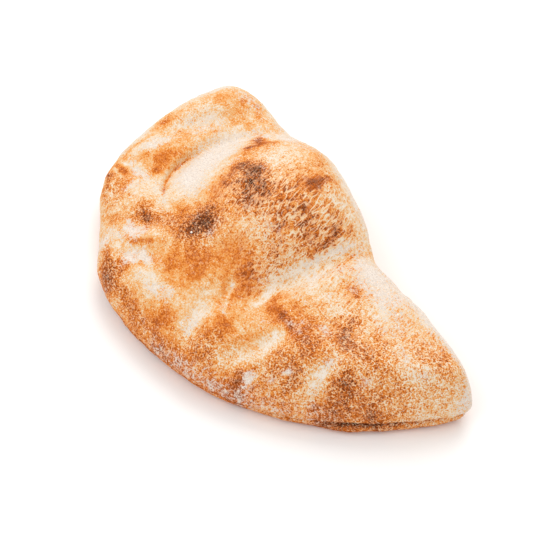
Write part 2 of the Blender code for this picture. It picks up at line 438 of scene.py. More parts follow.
def spotted(points, size, seed):
    """Cell noise: one spot is scattered in each cube of a lattice. Gives each point's distance to the
    nearest spot and to the second nearest, in sizes, and a random number of the nearest spot's own."""
    random = np.random.default_rng(seed).random((4096, 4))
    cell = np.floor(points / size).astype(np.int64)
    inside = points / size - cell
    first = np.full(len(points), 9.0)
    second = first.copy()
    own = np.zeros(len(points))
    for step in np.ndindex(3, 3, 3):
        step = np.array(step) - 1
        spot = random[hashed(cell + step, len(random))]
        away = np.linalg.norm(step + spot[:, :3] - inside, axis=1)
        second = np.minimum(second, np.maximum(first, away))
        own = np.where(away < first, spot[:, 3], own)
        first = np.minimum(first, away)
    return first, second, own


def eased(value, low, high):
    """0 below low, 1 above high, and the smooth step 3t^2 - 2t^3 between them."""
    t = np.clip((value - low) / (high - low), 0, 1)
    return t * t * (3 - 2 * t)


print("noise of 10 mm at three places:", rolling(np.eye(3) * 5, 10.0, 0).round(2))

# %% [markdown]
# ## Relief
#
# The solid has the big forms. The skin now gets what the eye reads as crust: gentle lumps all over, small
# gas blisters and pores, the net of wrinkles where the big bubble stretched the floured skin, the sharp line
# in the crease at the bubble's foot, and a torn, uneven seam. Each is a height in millimetres, and the
# points move along their normals. The base stays flat, because the baking stone pressed it flat.

# %% Read the skin back
def read_points(mesh):
    """The mesh's points and their normals as two arrays."""
    points = np.empty(len(mesh.vertices) * 3)
    normals = np.empty(len(mesh.vertices) * 3)
    mesh.vertices.foreach_get("co", points)
    mesh.vertex_normals.foreach_get("vector", normals)
    return points.reshape(-1, 3), normals.reshape(-1, 3)


smooth_points, smooth_normals = read_points(skin)
spots = smooth_points / MM
over_base = eased(spots[:, 2], 0.2, 5.0)
print("points over the base:", int((over_base > 0).sum()))

# %% Where the skin is stretched, wrinkled or torn
# Place, half sizes and turn of the areas, and how strong each is
STRETCHED = [
    (6, 30, 26, 34, 0, 1),  # the crown of the big bubble and its side over the saddle
    (-24, 10, 18, 22, 0, 0.6),
    (40, 30, 14, 18, 0, 0.6),  # across the saddle
    (72, 22, 20, 18, 0, 0.55),
    (22, -6, 12, 14, 0, 0.5),
    (96, 42, 30, 12, 0, 0.3),
]
DRAGGED = [
    (-108, -37, 16, 9, -12, 1),  # drag lines that run out over the rim
    (-86, -52, 14, 8, -18, 0.6),
    (-50, 60, 26, 14, 20, 0.5),  # and over the fold
]
# Where dried flour cracked into pale worms, and where single browned specks show between them
CRACKLED = [
    (95, 5, 40, 34, 0, 0.65),  # the pointed lobe, most of all towards its rim
    (124, 34, 22, 28, 0, 0.8),
    (80, -32, 22, 14, 30, 0.6),
    (-5, -76, 60, 5, 0, 0.4),  # the half-moon rim
    (-45, -72, 26, 6, -12, 0.5),
    (-95, -46, 24, 8, -20, 0.5),
    (40, -58, 22, 10, 30, 0.6),
    (0, 3, 24, 8, 0, 0.6),  # below the crown
    (23, 4, 6, 14, 0, 0.6),
    (-40, 35, 16, 14, 0, 0.5),
    (-22, -22, 14, 12, 0, 0.9),  # round the dark blister
    (-44, -36, 16, 8, 0, 0.5),
    (-62, -42, 16, 10, 0, 0.5),
    (-113, 24, 9, 14, 0, 0.4),
    (8, 38, 40, 26, 0, 0.25),
    (-32, 14, 18, 14, 0, 0.6),
]
WHOLE = [(-6.0, 43.0, 6.5, 9.0, 15.0, 0.85)]  # a blister on the crown that is neither
PULL = 0.45  # radians from +Y towards -X: the direction in which the film was stretched
CREASE_LINE = ((-62.0, -27.0), (-93.0, -15.0), (-88.0, 22.0))
CREASE_LIP = ((-64.0, -29.5), (-97.0, -17.0), (-91.5, 22.0))


def painted(x, y, patches):
    """How much each point is covered by patches that lie over each other: 1 less the product of what
    each one leaves bare."""
    bare = np.ones(x.shape)
    for *shape, amount in patches:
        bare *= 1 - bell(x, y, *shape, 1.0) * amount
    return 1 - bare


broken_up = (1 - painted(spots[:, 0], spots[:, 1], WHOLE)) * over_base
stretched = painted(spots[:, 0], spots[:, 1], STRETCHED) * broken_up
dragged = painted(spots[:, 0], spots[:, 1], DRAGGED) * over_base
crackled = painted(spots[:, 0], spots[:, 1], CRACKLED) * broken_up
print("stretched share of the skin:", round(float(stretched.mean()), 3))


# %% Relief over the whole crust
# Height and size in mm, and seed, of the rolling lumps
LUMPS = [(0.8, 21.0, 1), (0.42, 8.5, 2), (0.2, 3.6, 3), (0.07, 1.3, 8)]
# Height and size in mm, seed, between which random numbers they grow, and radius and slope in sizes
BLISTERS = (0.55, 7.5, 4, (0.62, 0.95), 0.42, 0.34)
PORES = (-0.22, 2.6, 5, (0.55, 0.9), 0.36, 0.3)
NET_HEIGHT = 0.26  # mm
DRAG_HEIGHT, DRAG_LENGTH, DRAG_WIDTH = 0.4, 14.0, 2.4  # mm


def scattered_bumps(points, height, size, seed, grown, radius, slope):
    """Round bumps on the spots of cell noise whose random number passes what is needed to have grown: full
    height in the middle, eased down to nothing at the radius."""
    first, _, own = spotted(points, size, seed)
    return height * eased(own, *grown) * eased(radius - first, 0.0, slope)


def net_borders(points, size, stretch, seed):
    """Ridges between cells that are drawn out along the pull: 1 on a border, falling off as a bell curve
    of how much nearer the nearest spot is than the second."""
    x, y, z = points.T
    across = x * math.cos(PULL) + y * math.sin(PULL)
    along = y * math.cos(PULL) - x * math.sin(PULL)
    first, second, _ = spotted(np.stack([across, along / stretch, z], axis=1), size, seed)
    return np.exp(-(((second - first) / 0.16) ** 2))


def crust_relief(points):
    """The height of the relief in mm: lumps, blisters, pores, net, drag lines and the crease, summed."""
    x, y, z = points.T
    height = layered(points, LUMPS)
    height += scattered_bumps(points, *BLISTERS) + scattered_bumps(points, *PORES)
    height += NET_HEIGHT * stretched * net_borders(points, size=2.7, stretch=2.5, seed=6)
    along = (0.98 * x - 0.2 * y) / DRAG_LENGTH
    across = (0.2 * x + 0.98 * y) / DRAG_WIDTH
    lines = np.stack([along, across, z / DRAG_LENGTH + z / DRAG_WIDTH], axis=1)
    height += DRAG_HEIGHT * dragged * rolling(lines, 1.0, 7)
    height += furrow(x, y, *CREASE_LINE, half_width=1.3, lift=-1.5, ends=0.2)
    height += furrow(x, y, *CREASE_LIP, half_width=2.2, lift=0.7, ends=0.2)
    return height * over_base


# %% Relief of the seam, and the finished skin
SEAM_HEIGHT, SEAM_HALF = 8.5, 4.0  # mm, the seam's middle over the table, and its half height
TORN_EDGE = [(0.8, 4.2, 9), (0.5, 1.7, 10)]  # height and size in mm, and seed


def seam_relief(points):
    """Torn dough between the layers, in mm: short waves that fade away over and under the seam, and along
    the rim towards the blunt end and the fold."""
    x, y, z = points.T
    near_seam = np.exp(-(((z - SEAM_HEIGHT) / SEAM_HALF) ** 2))
    near_seam *= eased(x, 20.0, 90.0) * eased(0.62 * x - y, 8.0, 30.0)
    return near_seam * layered(points, TORN_EDGE)


relief = crust_relief(spots) + seam_relief(spots)
skin.vertices.foreach_set("co", (smooth_points + smooth_normals * relief[:, None] * MM).ravel())
skin.update()
print("relief from", relief.min().round(2), "to", relief.max().round(2), "mm")

# %% [markdown]
# ## Where the oven browned it
#
# An oven browns whatever stands up: blisters and rolls go orange, then brown, and creases stay pale. Random
# noise alone would look like camouflage, so the patches are listed one by one, each with its place, half
# sizes, turn and strength, and noise only frays their borders. Browning is a number: 0 is pale dough, 0.5 is
# golden, and 1 is dark brown. Scorch and flour have numbers of their own. The rim, which is too steep to be
# painted from above, has a table by direction, and the side that no photograph shows gets blotches.

# %% Browned and pale patches
# Place, half sizes, turn in degrees, and how much browner than plain crust the patch is
BROWNED = [
    # the blunt end
    (-119, 54, 6, 7, 0, 0.14),
    (-109.5, 57, 3, 4, 0, 0.24),
    (-104, 52, 5, 4, 0, 0.16),
    (-117, 44, 6, 5, 0, 0.16),
    (-102, 44, 7, 4, 20, 0.16),
    (-91, 52, 5, 4, 20, 0.16),
    (-98, 62, 9, 3.5, 0, 0.14),
    (-79, 62, 3, 3, 0, 0.16),
    (-97, 30, 4, 10, 10, 0.12),
    (-117, 25, 4, 8, 0, 0.06),
    (-125, 7, 8.5, 7.5, 10, 0.34),
    (-108, 8, 2.6, 6, -15, 0.2),
    (-102, 9, 3, 4, 0, 0.14),
    (-92.5, 2, 4, 12, 4, 0.24),
    (-94, -9, 6.5, 8, 0, 0.18),
    (-89, -16, 4.5, 5, -30, 0.28),
    (-106, -17, 4, 3, 0, 0.24),
    (-119, -19, 5, 8, 0, 0.2),
    (-108, -24, 7, 3, 15, 0.16),
    (-104, -34, 9, 5, -8, 0.24),
    (-112, -39, 9, 2.4, -12, 0.26),
    (-93, -37, 5, 7, 0, 0.16),
    (-101, -45, 8, 4, -15, 0.24),
    (-88, -44, 5, 5, 0, 0.16),
    (-77, -56, 12, 4, -18, 0.2),
    (-72, -52, 5, 4, 0, 0.16),
    (-72, -21, 5, 2, -30, 0.24),
    # round the burst blister
    (-68, -38, 6, 5, 0, 0.16),
    (-65, -46, 4, 4, 0, 0.18),
    (-52, -38, 10, 4, 12, 0.32),
    (-44, -52.5, 9, 2, 38, 0.34),
    (-54, -69, 10, 3, -14, 0.16),
    (-45, -75, 13, 4.5, -10, 0.4),
    (-38, -68, 6, 3.5, 20, 0.24),
    # the big bubble
    (-4, 26, 36, 20, 0, 0.14),
    (-75, 46, 8, 4.5, -8, 0.62),
    (-60, 46, 9, 4.5, -8, 0.3),
    (-63, 38, 9, 5, -15, 0.34),
    (-64, 31, 10, 3, -30, 0.3),
    (-62, 31, 8, 3.5, -38, 0.28),
    (-45, 6, 4, 11, 25, 0.12),
    (-46, 16, 6, 6, -45, 0.36),
    (-36, 22, 9, 6, -20, 0.22),
    (-38, 4, 7, 6, 0, 0.16),
    (-28, 6, 13, 8, 0, 0.34),
    (-13, 1, 10, 7, 0, 0.2),
    (-46, 16, 3, 4.5, 20, 0.2),
    (-30, 17, 12, 6, 0, 0.22),
    (-14, 9, 9, 9, 0, 0.26),
    (-21, 54, 6, 6, 0, 0.14),
    (-17, 38, 4, 7, 0, 0.12),
    (-7, 55, 3.5, 8, 10, 0.26),
    (-6, 43, 5, 8, 15, 0.4),
    (-6, 27, 7, 8, 0, 0.18),
    (3, 20, 8, 7, 0, 0.2),
    (8, 30, 7, 6, 0, 0.2),
    (15, 47, 5, 5, 0, 0.22),
    (22, 52, 2.5, 9, 15, 0.2),
    (21, 40, 3.5, 5, 0, 0.3),
    (24, 32, 2.5, 7, 10, 0.3),
    (18, 23, 5, 6, 0, 0.26),
    (14, 5, 5, 7, 10, 0.24),
    (23, 3, 3, 11, 0, 0.14),
    (2, 4, 8, 6, 0, 0.08),
    (7, 12, 5, 4, 0, 0.18),
    (-30, 62, 10, 5, 0, 0.1),
    # the slope below it
    (-41, -28, 9, 6, -20, 0.17),
    (-33, -33, 9, 4, 0, 0.14),
    (-22, -23, 11, 11, 0, 0.24),
    (0, -42, 6, 8, 0, 0.12),
    (-30, -8, 10, 5, -20, 0.14),
    (10, -13, 15, 9, 0, 0.22),
    (-38, -23, 7, 5, 0, 0.14),
    (-40, -31, 6, 4, 0, 0.1),
    (2, -40, 8, 8, 0, 0.12),
    (49, -36, 6, 6, 0, 0.14),
    (20, -21, 8, 12, 0, 0.28),
    (0, -26, 9, 8, 0, 0.18),
    (-12, -37, 10, 6, 10, 0.24),
    (-17, -48, 8, 6, 0, 0.2),
    (24, -30, 6, 4, -40, 0.14),
    (6, -64, 7, 6, 0, 0.28),
    (-14, -75, 24, 5, 2, 0.26),
    (14, -72, 16, 5, 8, 0.1),
    (22, -38, 5, 3, 0, 0.1),
    (38, -46, 9, 7, 30, 0.24),
    (36, -55, 6, 5, 0, 0.16),
    (42, -60, 13, 5, 26, 0.24),
    (65, -48, 5, 6, -20, 0.32),
    # the saddle's near side and the pointed lobe
    (104, -20, 9, 6, 45, 0.3),
    (110, -7, 6, 8, 30, 0.16),
    (118, 4, 5, 7, -30, 0.2),
    (32, 47, 4, 8, 30, 0.26),
    (30, 57, 3.5, 5, 30, 0.16),
    (57, 32, 8, 5, -10, 0.28),
    (60, 24, 6, 3, 0, 0.14),
    (57, 5, 10, 6, 15, 0.06),
    (36, -8, 4.5, 8, 10, 0.2),
    (46, -15, 12, 6, 0, 0.26),
    (50, -5, 7, 4, 0, 0.1),
    (64, -4, 6, 4, 0, 0.26),
    (62, -13, 12, 5, 0, 0.36),
    (77, 19, 4.5, 5, -30, 0.32),
    (82, 8, 9, 9, 0, 0.32),
    (88, 5, 9, 4, 0, 0.18),
    (97, 10, 14, 6, 10, 0.3),
    (108, 18, 12, 7, 10, 0.16),
    (112, 3, 8, 8, 30, 0.14),
    (97, 24, 8, 4, 0, 0.14),
    (78, -12, 10, 9, 0, 0.3),
    (82, -25, 7, 5, 0, 0.26),
    (74, -35, 10, 5, 30, 0.18),
    (70, -27, 6, 6, 0, 0.2),
    (87, -30, 5, 6, 0, 0.22),
    (104, -7, 7, 8, 30, 0.3),
    (97, -1, 6, 4, 0, 0.18),
    (115, 38, 11, 7, 0, 0.22),
    (125, 46, 9, 6, 0, 0.14),
    (134, 42, 5, 9, -25, 0.1),
    (128, 24, 6, 10, -30, 0.1),
    (118, 51, 12, 3, 0, 0.14),
    (122, 14, 4, 9, -30, 0.14),
]
# The same, with how much of the browning a pale patch takes away
PALED = [
    (-68, 60, 16, 8, -20, 0.6),
    (124, 32, 5, 9, -30, 0.3),
    (-51, -12, 9, 8, 0, 0.3),
    (-133, 0, 5, 20, 0, 0.5),
    (-114, 40, 30, 34, 0, 0.2),
    (-131, 40, 6, 20, 0, 0.7),
    (-130, -12, 6, 12, 15, 0.7),
    (-108, 34, 6, 4, 0, 0.3),
    (-110, -6, 4, 12, -10, 0.5),
    (-95, 72, 34, 5, 0, 0.5),
    (-75, 14, 32, 14, -70, 0.95),  # the flank that stretched out of the crease
    (-63, -7, 16, 11, -20, 0.85),
    (-114, 17, 6, 14, 0, 0.5),
    (-127, -12, 8, 16, 5, 0.6),
    (-110, -12, 6, 10, 0, 0.6),
    (29, 12, 4, 10, 0, 0.5),
    (-66, -63, 9, 4, -20, 0.5),
    (28, -64, 4, 3.5, 0, 0.25),
    (0, -59, 7, 4, 0, 0.4),
    (-88, 34, 3, 20, 0, 0.6),
    (-128, 56, 8, 8, 0, 0.5),
    (-80, -31, 9, 12, 0, 0.6),
    (-66, -27, 12, 3.5, -15, 0.6),
    (-40, 44, 12, 12, 0, 0.45),
    (-34, 33, 8, 5, 0, 0.5),
    (-12, 72, 60, 9, -4, 0.7),
    (-6, -2, 8, 6, 0, 0.3),
    (5, 46, 4, 6, 0, 0.4),
    (-60, -62, 9, 4, -10, 0.4),
    (-20, -61, 10, 5, 10, 0.7),
    (7, -46, 5, 12, 8, 0.25),
    (18, -49, 5, 13, 28, 0.8),  # the pale wedge between two pleats
    (36, 17, 6, 11, 0, 0.8),  # the pale side of the blister by the saddle
    (45, 26, 7, 6, 0, 0.5),
    (45, 9, 5, 6, 0, 0.4),
    (58, 14, 9, 5, 0, 0.4),
    (60, -27, 5, 12, 0, 0.8),  # the second pale wedge
    (56, -44, 4, 7, -25, 0.6),
    (50, -54, 5, 3, 30, 0.6),
    (44, -32, 6, 6, 0, 0.35),
    (94, -13, 4, 10, -8, 0.8),  # the third pale wedge
    (90, 58, 60, 5, 0, 0.9),
    (52, 48, 20, 8, 0, 0.8),
    (76, 36, 8, 6, 0, 0.35),
    (114, 28, 9, 3.5, -18, 0.5),
    (126, 31, 4, 6, -30, 0.5),
]
# Start, bend and end of pale lines, half width, and how much of the browning they take away
PALE_LINES = [
    ((26, 66), (29, 20), (28, -8), 2.2, 0.85),  # along the bottom of the saddle
    ((27, 2), (29, -14), (38, -26), 2.4, 0.9),
    ((-107, 41), (-108, 20), (-116, -2), 1.6, 0.8),  # along the trough
    ((11, -20), (19, -28), (29, -40), 2.2, 0.6),
    ((-118, -29), (-104, -27.5), (-90, -24.5), 1.3, 0.9),  # drag lines by the blunt end
    ((-110, -24), (-102, -25.5), (-94, -22), 0.9, 0.6),
    ((-117, -34), (-107, -37.5), (-94, -34.5), 1, 0.8),
    ((-113, -40), (-105, -43), (-93, -42), 0.9, 0.7),
    ((-107, -45), (-98, -48), (-88, -47), 0.9, 0.6),
    ((-89, -27), (-88, -34), (-87, -41), 1.5, 0.9),
    ((68, -34), (69.5, -42), (68, -52), 1.4, 0.7),
    ((-70, -24), (-58, -30), (-50, -27), 1.2, 0.6),
]
# The same for brown lines, with how much browner they are; the first is painted shade
BROWN_AND_SHADE_LINES = [
    (*CREASE_LINE, 0.6, 0.42),  # painted shade in the sharp crease
    ((-117, -36), (-108, -41), (-96, -49), 1.1, 0.22),  # between the drag lines
    ((-119, -31), (-108, -32.5), (-97, -31), 1.1, 0.16),
    ((-112, -43), (-103, -47), (-92, -52), 1, 0.16),
]
print(len(BROWNED), "browned patches and", len(PALED) + len(PALE_LINES), "pale ones")

# %% Scorched and floured patches
# Place, half sizes, turn in degrees, and how far the oven charred the patch
SCORCHED = [
    (-23.5, -20, 10, 9, -30, 1),  # the dark blister below the bubble
    (-26, -27, 8, 8, 0, 0.85),
    (-45, 18, 5, 4, -45, 0.5),  # a group of them on the bubble's shoulder
    (-35, 23, 9, 6.5, -30, 0.6),
    (-28, 14, 10, 6.5, -30, 0.7),
    (-16, 17.5, 8, 5, 0, 0.5),
    (-78, 45.5, 5.5, 3.4, -8, 0.6),  # on the bubble's crest
    (-62, 42, 8, 3, -10, 0.35),
    (-60, 36, 6, 3.5, -35, 0.35),
    (-21, 53, 4, 3, 0, 0.2),
    (15, 47, 4, 3, 0, 0.25),
    (20.5, 41, 2.4, 3, 0, 0.65),
    (24.5, 32, 1.8, 6, 10, 0.5),
    (11, 30, 3, 2.5, 0, 0.45),
    (18, 22, 4, 3.5, 0, 0.5),
    (7.5, 14, 3, 3, 0, 0.35),
    (-58.5, -42, 6, 4.6, 0, 0.8),  # the burst blister
    (-65, -39.5, 8, 6, 15, 0.5),
    (-45, -72, 9, 2.4, -10, 0.4),  # the rim's dark spots
    (-37, -68, 4, 2.4, 20, 0.4),
    (-109, -40, 7, 1.6, -12, 0.35),
    (-104, -17, 3, 1.6, 0, 0.25),
    (60, -12, 10, 3.5, 0, 0.4),
    (47, -5, 3, 2, 0, 0.25),
    (57, 32, 5, 3, -20, 0.4),
    (79, 13, 2.4, 4, -20, 0.35),
    (99, 9, 4, 2, 0, 0.25),
    (106, -7, 6, 6.5, 30, 0.45),
    (83, -24, 3.5, 3, 0, 0.3),
    (63, -52, 3.5, 3, 30, 0.4),
]
# The same, with how much of the patch flour covers
FLOURED = [
    (-68, 62, 16, 8, -20, 0.5),
    (-133, -6, 4, 16, 0, 0.3),
    (-10, 72, 56, 8, -4, 0.6),
    (-112, 36, 24, 30, 0, 0.1),
    (139, 53, 5, 6, 0, 0.4),
    (-132, 38, 7, 22, 0, 0.6),
    (-130, -14, 6, 12, 15, 0.5),
    (-90, 74, 36, 7, 0, 0.45),
    (-75, 14, 31, 14, -70, 0.8),  # the flank that stretched out of the crease
    (-64, -7, 13, 10, -20, 0.7),
    (-114, 17, 5, 12, 0, 0.3),
    (-86, 30, 3, 22, 0, 0.5),
    (-103, 28, 5, 10, 0, 0.4),
    (-104, 18, 4, 8, 0, 0.35),
    (-107, -3, 4, 9, -8, 0.55),
    (-95, -25, 15, 2.6, 5, 0.6),
    (-88, -36, 3, 9, -5, 0.55),
    (-98, -36, 6, 1.6, -5, 0.35),
    (-80, -38, 4, 6, 0, 0.3),
    (-51, -46, 7, 3.5, -25, 0.6),
    (-56, -52, 9, 5, -10, 0.95),
    (-33, -55, 6, 3.5, 0, 0.75),
    (-40, -62, 5, 4.5, 30, 0.75),
    (-56, -61, 12, 3, -14, 0.4),
    (-27, -64, 4, 2.6, 0, 0.5),
    (-11, -64, 9, 2.6, 10, 0.6),
    (-4, -56, 6, 3, 0, 0.35),
    (-33, 27, 6, 4, 0, 0.35),
    (-45, 42, 10, 12, 0, 0.2),
    (-38, 60, 14, 9, 0, 0.35),
    (-60, 60, 16, 8, 0, 0.45),
    (-110, 62, 14, 6, 0, 0.4),
    (-129, 56, 6, 8, 0, 0.4),
    (-130, -11, 6.5, 12, 5, 0.7),
    (-110, -11, 5, 9, 0, 0.45),
    (-80, 53, 6, 3, 0, 0.5),
    (-66, -62, 8, 4, -20, 0.5),
    (-35, -57, 10, 4, 10, 0.4),
    (-3, -60, 8, 3.5, 0, 0.4),
    (-68, -26, 10, 3.5, -15, 0.45),
    (-92, -30, 12, 3, 0, 0.35),
    (-54, 18, 4, 8, 0, 0.3),
    (74, 2, 5, 4, 0, 0.4),
    (90, 27, 8, 4, 0, 0.35),
    (92, -8, 4, 7, 0, 0.35),
    (47, -25, 6, 3.5, 0, 0.35),
    (48, 1, 8, 4, 0, 0.3),
    (-123, -22, 6, 5, 30, 0.1),
    (-104, -26, 8, 4, 0, 0.3),
    (-114, -14, 5, 8, 0, 0.15),
    (-50, -12, 8, 7, 0, 0.4),
    (-67, -67, 6, 3.5, -20, 0.5),
    (-15, -21, 3.5, 7, 0, 0.45),
    (-33, -22, 3, 6, 0, 0.4),
    (-5, 0, 10, 6, 0, 0.35),
    (6, 7, 7, 7, 0, 0.35),
    (24, -6, 4, 12, 0, 0.4),
    (28, 34, 2, 28, 2, 0.5),
    (15, -25, 4, 3, -30, 0.5),
    (25, -35, 4, 5, -30, 0.5),
    (18, -47, 4, 9, 25, 0.4),
    (22, -57, 6, 5, 0, 0.5),
    (50, 48, 20, 8, 0, 0.85),  # drifted along the fold
    (40, 32, 8, 6, 0, 0.4),
    (35, 16, 5, 9, 0, 0.5),
    (95, 58, 54, 5.5, 0, 0.9),
    (52, 38, 13, 6, 0, 0.5),
    (70, 42, 12, 8, 0, 0.5),
    (76, 50, 14, 5, 0, 0.4),
    (88, 37, 14, 9, 0, 0.42),
    (110, 46, 18, 8, 0, 0.2),
    (74, 1, 3.5, 4, 0, 0.35),
    (79, -4, 8, 3, -10, 0.12),
    (62, -12, 10, 4.5, 0, 0.5),
    (93, -6, 4, 6, 0, 0.4),
    (96, -20, 4, 5, 0, 0.35),
    (114, 28, 7, 3, -18, 0.6),
    (126, 32, 3, 5, -30, 0.45),
    (110, 3, 3, 2.6, 30, 0.6),
    (52, 2.5, 1.6, 1.2, 0, 0.9),
    (56, 17, 1.8, 1.4, 0, 0.7),
    (81, -29, 2.4, 1.8, 0, 0.7),
    (77, -36, 2, 3, 10, 0.5),
    (69, -45, 1.4, 7, 0, 0.6),
    (30, -39, 3, 2, 0, 0.5),
    (60, -36, 4, 8, 0, 0.35),
    (54, 30, 9, 7, 0, 0.2),
]
print(len(SCORCHED), "scorched patches and", len(FLOURED), "floured ones")

# %% How brown and how floury each point is
GOLDEN = 0.38  # how brown the plain crust is
PATCH_CONTRAST = 1.15  # what the browned patches' strengths are multiplied by
PALE_CONTRAST = 0.75  # the same for the pale ones
BRUSH_ENDS = 0.3  # the share of a pale line in which it fades in, and out again
DUSTING = 0.02  # how much of the plain crust flour covers
# How much browner, size in mm and seed of the blotches: everywhere, above the base, on the far side, below
BLOTCHES = [(0.07, 17, 24)]
FINE_BLOTCHES = [(0.07, 6, 25), (0.05, 2.4, 26)]
FAR_BLOTCHES = [(0.16, 23, 28), (0.1, 9, 29)]
UNDER_BLOTCHES = [(0.1, 15, 27)]
FAR_BROWNER, UNDER_BROWNER = 0.12, 0.3  # than the plain crust
FAR_SIDE = np.array([-0.45, 0.6, -0.6])  # faces the fold and the blunt end, which the photograph hides


def frayed(points, wide, narrow, seed):
    """Points moved in their plane by rolling noise of two sizes, so that patches get ragged borders."""
    moved = points.copy()
    for axis in (0, 1):
        moved[:, axis] += wide * rolling(points, 13.0, seed + axis)
        moved[:, axis] += narrow * rolling(points, 4.0, seed + 2 + axis)
    return moved


def browning(points, above, far):
    """How brown each point is: the plain crust, plus browned patches, times what pale patches leave, with
    rolling noise on top. The patches lie above the base. The underside is browned by the oven floor, and the
    far side in blotches."""
    x, y, _ = frayed(points, wide=2.6, narrow=1.6, seed=20).T
    level = GOLDEN + above * PATCH_CONTRAST * sum(bell(x, y, *patch) for patch in BROWNED)
    pale = above * painted(x, y, PALED)
    for *line, amount in PALE_LINES:
        pale = 1 - (1 - pale) * (1 - furrow(x, y, *line, amount, BRUSH_ENDS))
    level *= 1 - PALE_CONTRAST * pale * (1 - far)
    level += far * (FAR_BROWNER + layered(points, FAR_BLOTCHES))
    x, y, z = points.T
    # brown lines, with painted shade in the crease at the bubble's foot
    level += sum(furrow(x, y, *line, 0.25) for line in BROWN_AND_SHADE_LINES)
    level += layered(points, BLOTCHES) + above * layered(points, FINE_BLOTCHES)
    under = eased(-z, -9.0, -1.0)
    return level + under * (UNDER_BROWNER + layered(points, UNDER_BLOTCHES))


def flouring(points, above, far):
    """How much of the skin flour covers at each point: a dusting, patches, and noise; more under the rim."""
    x, y, z = frayed(points, wide=2.6, narrow=1.8, seed=30).T
    cover = 1 - (1 - DUSTING) * (1 - above * painted(x, y, FLOURED) * (1 - 0.6 * far))
    cover += 0.12 * rolling(points, 14.0, 34) + 0.12 * above * rolling(points, 4.0, 35)
    under = np.exp(-(((z - 6.0) / 5.0) ** 2))
    return np.clip(cover + 0.06 * under, 0, 1)


# %% The rim and the groove
# Direction in degrees, how much browner the rim is there, and how much more flour stuck to it
RIM = [
    (-165, 0, 0),
    (-150, -0.12, 0.35),
    (-134, -0.05, 0.2),
    (-118, 0, 0.3),
    (-106, 0.05, 0.1),
    (-94, 0.12, 0.15),
    (-84, 0.24, 0.38),
    (-46, 0.34, 0.42),
    (-30, 0.3, 0.36),
    (-14, 0.08, 0.3),
    (-5, 0.1, 0.2),
    (2, 0.3, 0.05),
    (12, 0, 0.1),
    (22, -0.1, 0.3),
    (45, 0, 0),
]
RIM_HEIGHT, RIM_HALF = 15.5, 10.0  # mm, the middle of that band over the table, and its half height
GROOVE_PAINTED_SHADE = 0.7  # painted shade, added to the browning where the groove is deepest
print(len(RIM), "directions round the rim")


def direction_of(points):
    """The direction of each point from the middle that the edge's directions are counted from."""
    return np.arctan2(points[:, 1] + middle[1] - MIDDLE[1], points[:, 0] + middle[0] - MIDDLE[0])


def rim_paint(points):
    """The rim's extra browning and flour: by direction, times a bell curve of the height over the table."""
    degrees, brown, flour = np.array(RIM).T
    turned = np.degrees(direction_of(points))
    band = np.exp(-(((points[:, 2] - RIM_HEIGHT) / RIM_HALF) ** 2))
    return [np.interp(turned, degrees, column, period=360) * band for column in (brown, flour)]


def in_groove(points):
    """How deep in the groove between the layers each point lies: the groove's own formula, over its
    greatest depth."""
    theta = direction_of(points)
    groove, _ = seam_at(theta)
    level = points[:, 2] / edge_at(theta)[1]
    return groove / GROOVE_DEEPEST * np.exp(-(((level - GROOVE_LEVEL) / GROOVE_HALF) ** 2))


# %% Paint the skin
def store(mesh, name, values):
    """A number for each point of the mesh, which the shader reads by name."""
    attribute = mesh.attributes.new(name, "FLOAT", "POINT")
    attribute.data.foreach_set("value", values.astype(np.float32))


# painted shade in the groove, deep in some places and nearly shut in others
shaded = in_groove(spots) * (0.4 + 0.6 * eased(rolling(spots, 9.0, 36), -0.5, 0.3))
far = eased(smooth_normals @ FAR_SIDE, 0.3, 0.6)
rim_brown, rim_flour = rim_paint(spots)
# the browning also carries painted shade: darker in the groove, and without flour there
browned_and_shaded = browning(spots, over_base, far) + rim_brown + GROOVE_PAINTED_SHADE * shaded
floured = np.clip(flouring(spots, over_base, far) + rim_flour, 0, 1) * (1 - shaded)
scorched = painted(*frayed(spots, wide=1.5, narrow=1.2, seed=40).T[:2], SCORCHED) * over_base
for name, values in (("browned_and_shaded", browned_and_shaded), ("floured", floured), ("scorched", scorched),
                     ("stretched", stretched), ("crackled", crackled)):
    store(skin, name, values)
print("mean browning", browned_and_shaded.mean().round(3), "and flour cover", floured.mean().round(3))

# %% [markdown]
# ## Baked wheat crust
#
# Real crust is dried dough, browned by the oven: dull, a little rough, with grain at every scale down to
# single flour specks. The shader reads the painted numbers and breaks them up with noise of millimetre
# sizes. Holes in the stretched film add to the browning, threads and curls of dried flour take some away, and
# scorch adds most. Only then does one ramp turn the number into colour, because a light tan mixed over dark
# brown would look grey. Flour goes on last.

# %% A helper that adds a node
def add(tree, kind, inputs=None, **settings):
    """Adds a node of that kind and sets its settings. Each input, by name or number, gets a value, the link
    of a socket, or the link of another node's first output."""
    node = tree.nodes.new("ShaderNode" + kind)
    for name, value in settings.items():
        setattr(node, name, value)
    for name, value in (inputs or {}).items():
        if isinstance(value, bpy.types.Node):
            value = value.outputs[0]
        if isinstance(value, bpy.types.NodeSocket):
            tree.links.new(value, node.inputs[name])
        else:
            node.inputs[name].default_value = value
    return node


def new_material(name):
    """A material with a Principled shader and nothing else, its node tree and its shader."""
    material = bpy.data.materials.new(name)
    material.use_nodes = True
    tree = material.node_tree
    tree.nodes.clear()
    shader = add(tree, "BsdfPrincipled")
    add(tree, "OutputMaterial", {"Surface": shader})
    return material, tree, shader


